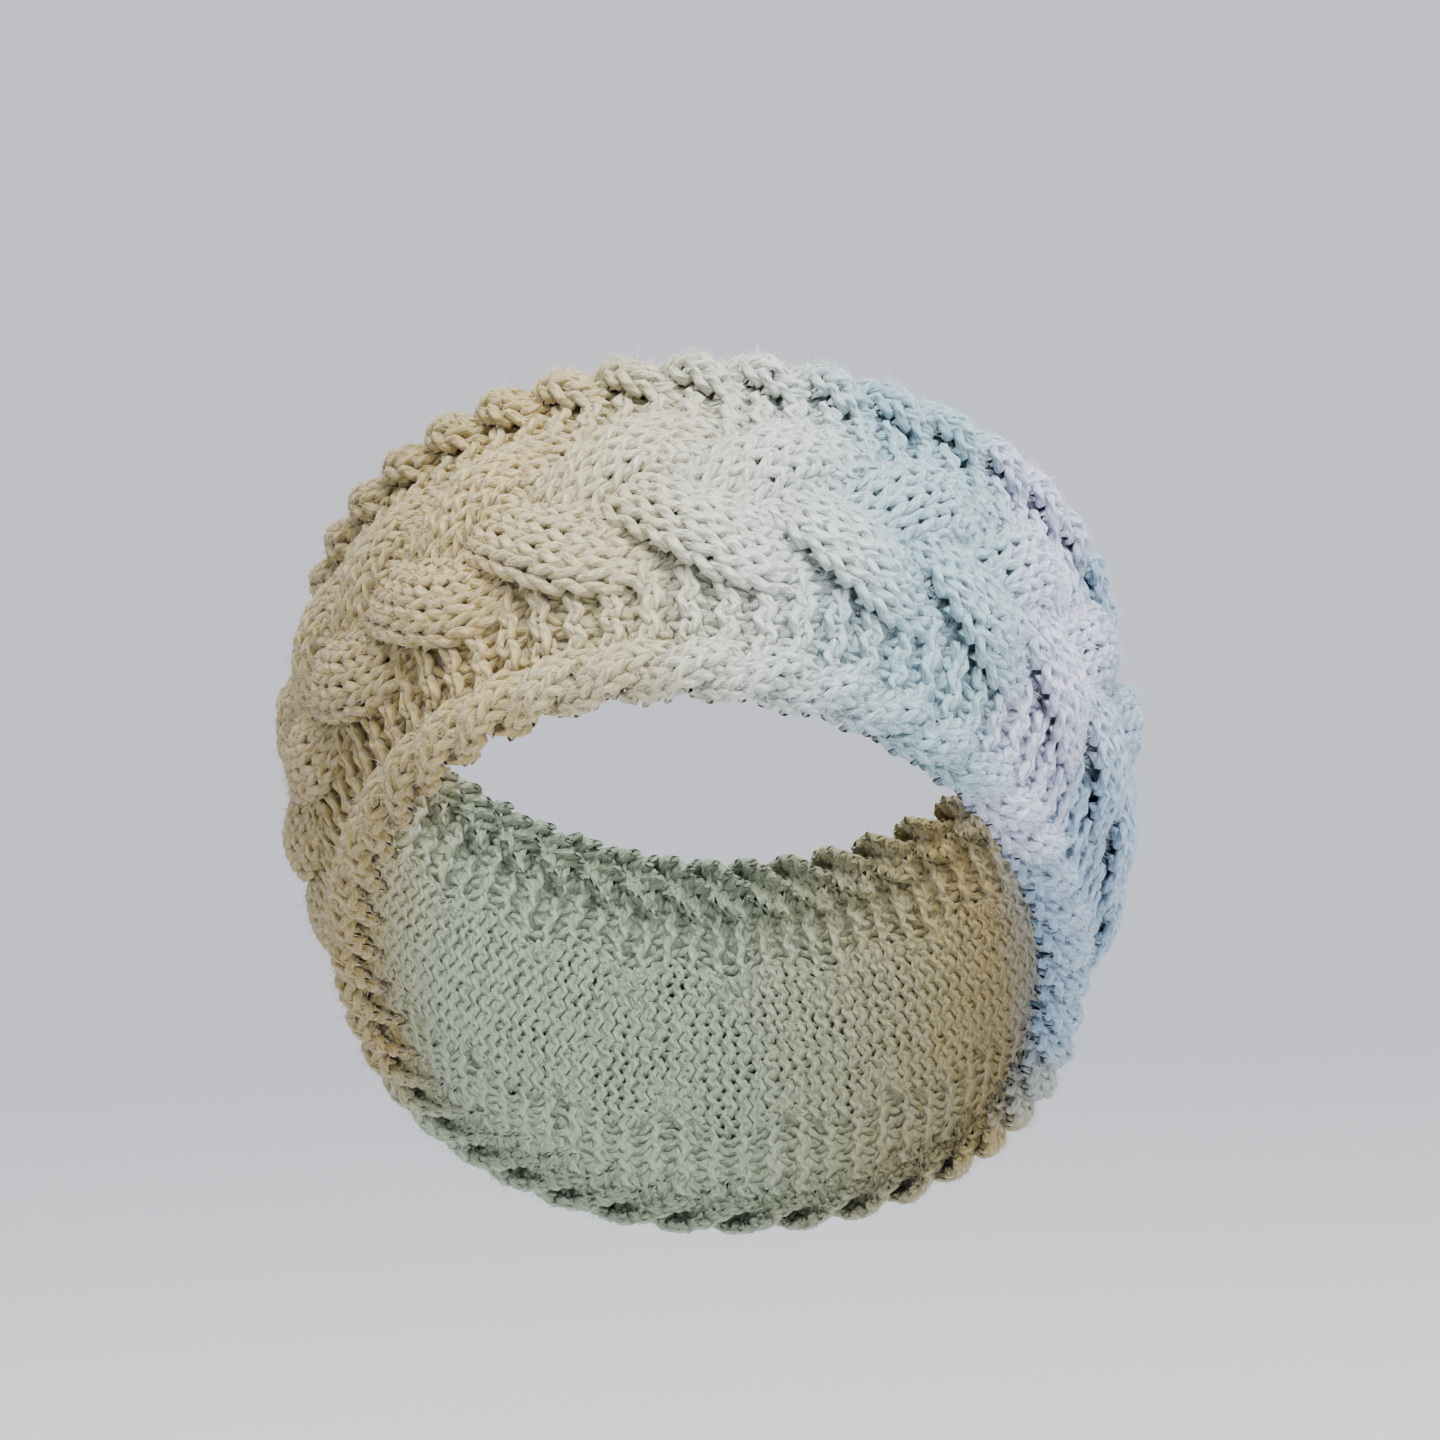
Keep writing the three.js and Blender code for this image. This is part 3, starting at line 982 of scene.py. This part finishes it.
class HEADBAND_OT_halo(bpy.types.Operator):
    """Raise the halo of fine fibres on the cables and the rope edges"""

    bl_idname = "headband.halo"
    bl_label = "Raise Halo"

    def execute(self, context):
        knit = context.scene.headband_knit
        material = halo_material(context.scene.headband_wool)
        rng = np.random.default_rng(HALO_SEED)
        plait = joined([plait_rows(knit, strand, rng) for strand in range(STRANDS)])
        ropes = joined([rope_rows(knit, side, strand, rng) for side in (-1, 1) for strand in range(2)])
        for name, rows, slot in (("plait", plait, "plait_knit"), ("rope", ropes, "rope_knit")):
            long = fibre_object(f"{name}_halo", rows, LONG_FIBRE, True, HALO_LONG, rng)
            finish_piece(long, material, [])
            short = fibre_object(f"{name}_fuzz", rows, SHORT_FIBRE, False, HALO_SHORT, rng)
            finish_piece(short, material, [])
        return {"FINISHED"}


def bowl_mesh():
    """Floor that curves up into a low round wall, as a profile turned about Z.

    The profile is a straight floor, a quarter circle of BOWL_CURVE and a straight wall.
    """
    bend = np.linspace(0.0, math.pi / 2, 17)
    radius = np.concatenate([[0.02, 1.0], BOWL_RADIUS - BOWL_CURVE + BOWL_CURVE * np.sin(bend), [BOWL_RADIUS]])
    height = np.concatenate([[0.0, 0.0], BOWL_CURVE * (1 - np.cos(bend)), [BOWL_CURVE + BOWL_WALL]])
    around = np.linspace(0.0, TURN, BOWL_SECTORS + 1)[:-1]
    points = np.stack([
        radius[:, None] * np.cos(around),
        radius[:, None] * np.sin(around),
        np.broadcast_to(height[:, None] + FLOOR_HEIGHT, (len(radius), len(around))),
    ], axis=-1).reshape(-1, 3)
    rings, sectors = len(radius), len(around)
    ring, sector = np.meshgrid(np.arange(rings - 1), np.arange(sectors), indexing="ij")
    beside = (sector + 1) % sectors
    quads = np.stack([
        ring * sectors + sector, (ring + 1) * sectors + sector,
        (ring + 1) * sectors + beside, ring * sectors + beside,
    ], axis=-1).reshape(-1, 4)
    mesh = bpy.data.meshes.new("floor")
    mesh.from_pydata(points.tolist(), [], quads.tolist() + [list(range(sectors))])
    mesh.polygons.foreach_set("use_smooth", np.ones(len(mesh.polygons), dtype=bool))
    mesh.update()
    return mesh


def floor_material(colour):
    """Matt pale floor with a faint unevenness of tone."""
    material = bpy.data.materials.new("floor paint")
    material.use_nodes = True
    tree = material.node_tree
    shader = tree.nodes["Principled BSDF"]
    place_on = add_node(tree, "ShaderNodeTexCoord").outputs["Object"]
    patches = math_node(tree, "MULTIPLY", noise_node(tree, place_on, 3.0, 2.0), 0.06)
    tone = mix_colours(tree, patches, (*colour, 1.0), (1.0, 1.0, 1.0, 1.0))
    tree.links.new(tone, shader.inputs["Base Color"])
    shader.inputs["Roughness"].default_value = 0.9
    return material


def soft_light(name, location, power, size):
    """A square area light that faces the middle of the loop."""
    data = bpy.data.lights.new(name, "AREA")
    data.energy = power
    data.size = size
    light = bpy.data.objects.new(name, data)
    light.location = location
    light.rotation_euler = (-Vector(location)).to_track_quat("-Z", "Y").to_euler()
    bpy.context.scene.collection.objects.link(light)


def photo_camera():
    """Camera whose pinhole matches the photograph: aim offsets, then pitch and yaw, turned back into the frame."""
    turn = Matrix.Rotation(CAMERA_PITCH, 3, "X") @ Matrix.Rotation(CAMERA_YAW, 3, "Z")
    back = turn.transposed()
    right = back @ Vector((math.cos(CAMERA_ROLL), 0.0, math.sin(CAMERA_ROLL)))
    up = back @ Vector((-math.sin(CAMERA_ROLL), 0.0, math.cos(CAMERA_ROLL)))
    behind = back @ Vector((0.0, -1.0, 0.0))
    location = back @ (Vector((-CAMERA_AIM_X, -CAMERA_DISTANCE, -CAMERA_AIM_Z)) * MM)
    data = bpy.data.cameras.new("camera")
    data.sensor_width = SENSOR
    data.lens = CAMERA_FOCAL_PIXELS * SENSOR / PHOTO_SIDE
    data.clip_start = 0.05
    camera = bpy.data.objects.new("camera", data)
    pose = Matrix((right, up, behind)).transposed().to_4x4()
    pose.translation = location
    camera.matrix_world = pose
    bpy.context.scene.collection.objects.link(camera)
    bpy.context.scene.camera = camera


class HEADBAND_OT_stage(bpy.types.Operator):
    """Set up the floor, the soft light and the camera"""

    bl_idname = "headband.stage"
    bl_label = "Set Stage"

    def execute(self, context):
        stage = context.scene.headband_stage
        floor = bpy.data.objects.new("floor", bowl_mesh())
        floor.data.materials.append(floor_material(stage.floor))
        context.scene.collection.objects.link(floor)
        world = bpy.data.worlds.new("studio")
        world.use_nodes = True
        background = world.node_tree.nodes["Background"]
        background.inputs["Color"].default_value = SKY_COLOUR
        background.inputs["Strength"].default_value = stage.sky
        context.scene.world = world
        soft_light("key", KEY_PLACE, stage.key, KEY_SIZE)
        soft_light("fill", FILL_PLACE, stage.fill, FILL_SIZE)
        photo_camera()
        return {"FINISHED"}


class HEADBAND_PT_panel(bpy.types.Panel):
    """Panel with the headband's sizes, shades and steps"""

    bl_label = "Headband"
    bl_idname = "HEADBAND_PT_panel"
    bl_space_type = "VIEW_3D"
    bl_region_type = "UI"
    bl_category = "Headband"

    def draw(self, context):
        for group in (context.scene.headband_knit, context.scene.headband_wool, context.scene.headband_stage):
            box = self.layout.box()
            for name in group.bl_rna.properties.keys():
                if name not in ("rna_type", "name"):
                    box.prop(group, name)
        for operator in STEPS:
            self.layout.operator(operator.bl_idname)


GROUPS = (
    ("headband_knit", HeadbandKnit),
    ("headband_wool", HeadbandWool),
    ("headband_stage", HeadbandStage),
)
STEPS = (HEADBAND_OT_ground, HEADBAND_OT_plait, HEADBAND_OT_ropes, HEADBAND_OT_halo, HEADBAND_OT_stage)


def register():
    """Registers the property groups, the operators and the panel."""
    for name, group in GROUPS:
        bpy.utils.register_class(group)
        setattr(bpy.types.Scene, name, bpy.props.PointerProperty(type=group))
    for step in STEPS:
        bpy.utils.register_class(step)
    bpy.utils.register_class(HEADBAND_PT_panel)


def unregister():
    """Takes back what register did, in the opposite order."""
    bpy.utils.unregister_class(HEADBAND_PT_panel)
    for step in reversed(STEPS):
        bpy.utils.unregister_class(step)
    for name, group in reversed(GROUPS):
        delattr(bpy.types.Scene, name)
        bpy.utils.unregister_class(group)


def main():
    register()
    bpy.ops.headband.ground()
    bpy.ops.headband.plait()
    bpy.ops.headband.ropes()
    bpy.ops.headband.halo()
    bpy.ops.headband.stage()


if __name__ == "__main__":
    main()
